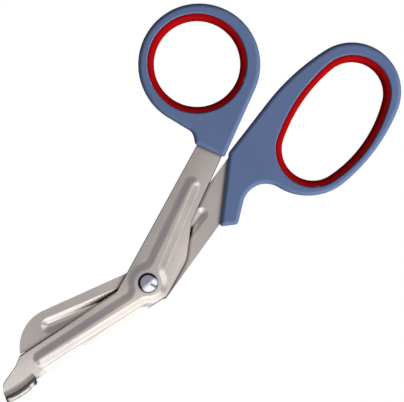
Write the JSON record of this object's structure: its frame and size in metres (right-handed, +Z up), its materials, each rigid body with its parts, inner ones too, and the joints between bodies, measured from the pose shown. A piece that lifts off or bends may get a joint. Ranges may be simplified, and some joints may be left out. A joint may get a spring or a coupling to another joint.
{
  "type": "bandage scissors",
  "caption": "Bandage scissors with bent steel blades, a blunt upturned foot on the lower blade, and moulded handles with soft ring inserts.",
  "frame": {"origin": "middle of the underside of the whole pair as it lies flat at rest", "axes": "+X from the blade tips to the handles, +Y towards the thumb loop, +Z up, square to the sheets and along the rivet"},
  "size_m": [0.1902, 0.0912, 0.0108],
  "materials": {
    "blade_steel": "satin stainless steel sheet, finely brushed along each half",
    "rivet_steel": "polished steel",
    "handle_plastic": "satin moulded plastic, slate blue",
    "ring_rubber": "smooth soft thermoplastic rubber, red"
  },
  "bodies": {
    "thumb_half": {"front_blade": "blade_steel", "thumb_handle": "handle_plastic", "thumb_ring_insert": "ring_rubber", "pivot_rivet": "rivet_steel", "pivot_washer": "rivet_steel"},
    "finger_half": {"rear_blade": "blade_steel", "finger_handle": "handle_plastic", "finger_ring_insert": "ring_rubber"}
  },
  "joints": [
    {"name": "pivot", "type": "hinge", "parent": "thumb_half", "child": "finger_half", "pos_m": [-0.02701, -0.0252, 0.0045], "axis": [0, 0, -1], "range_deg": [-0.7, 60]}
  ]
}
